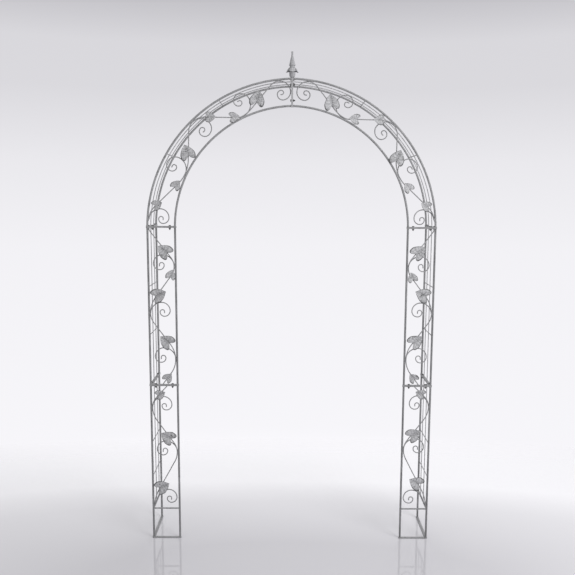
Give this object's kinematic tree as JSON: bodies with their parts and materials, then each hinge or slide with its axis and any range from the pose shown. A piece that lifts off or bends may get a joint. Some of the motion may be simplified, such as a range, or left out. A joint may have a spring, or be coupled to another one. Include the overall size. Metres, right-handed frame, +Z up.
{
  "type": "garden trellis arch",
  "caption": "Free-standing garden arch of painted steel bar: L-shaped legs and a half-round bow with scrolling vines, heart-shaped leaves, side grids for climbing plants and a spear finial.",
  "frame": {"origin": "on the ground, under the middle of the arch's overall box", "axes": "+Z up, +Y from the vine front to the back bow, +X across the walkway to the right when seen from the front"},
  "size_m": [1.4, 0.259, 2.4005],
  "materials": {
    "frame": "antique white paint brushed thinly over grey",
    "vine": "antique white paint brushed thinly over grey",
    "leaf": "whitewashed grey paint",
    "fastener": "dark grey paint"
  },
  "bodies": {
    "root": {"finial_crown": "leaf", "finial_socket": "frame", "finial_spear": "frame", "joint_bolts": "fastener", "joint_nuts": "fastener", "left_arch_back_bow": "frame", "left_arch_grid_rods": "frame", "left_arch_grid_rungs": "frame", "left_arch_inner_bow": "frame", "left_arch_outer_bow": "frame", "left_arch_rails": "frame", "left_arch_vine_leaves": "leaf", "left_arch_vine_stem": "vine", "left_arch_vine_tendrils": "vine", "left_lower_back_post": "frame", "left_lower_grid_rods": "frame", "left_lower_grid_rungs": "frame", "left_lower_inner_post": "frame", "left_lower_outer_post": "frame", "left_lower_rails": "frame", "left_lower_vine_leaves": "leaf", "left_lower_vine_stem": "vine", "left_lower_vine_tendrils": "vine", "left_middle_back_post": "frame", "left_middle_grid_rods": "frame", "left_middle_grid_rungs": "frame", "left_middle_inner_post": "frame", "left_middle_outer_post": "frame", "left_middle_rails": "frame", "left_middle_vine_leaves": "leaf", "left_middle_vine_stem": "vine", "left_middle_vine_tendrils": "vine", "right_arch_back_bow": "frame", "right_arch_grid_rods": "frame", "right_arch_grid_rungs": "frame", "right_arch_inner_bow": "frame", "right_arch_outer_bow": "frame", "right_arch_rails": "frame", "right_arch_vine_leaves": "leaf", "right_arch_vine_stem": "vine", "right_arch_vine_tendrils": "vine", "right_lower_back_post": "frame", "right_lower_grid_rods": "frame", "right_lower_grid_rungs": "frame", "right_lower_inner_post": "frame", "right_lower_outer_post": "frame", "right_lower_rails": "frame", "right_lower_vine_leaves": "leaf", "right_lower_vine_stem": "vine", "right_lower_vine_tendrils": "vine", "right_middle_back_post": "frame", "right_middle_grid_rods": "frame", "right_middle_grid_rungs": "frame", "right_middle_inner_post": "frame", "right_middle_outer_post": "frame", "right_middle_rails": "frame", "right_middle_vine_leaves": "leaf", "right_middle_vine_stem": "vine", "right_middle_vine_tendrils": "vine"}
  },
  "joints": []
}
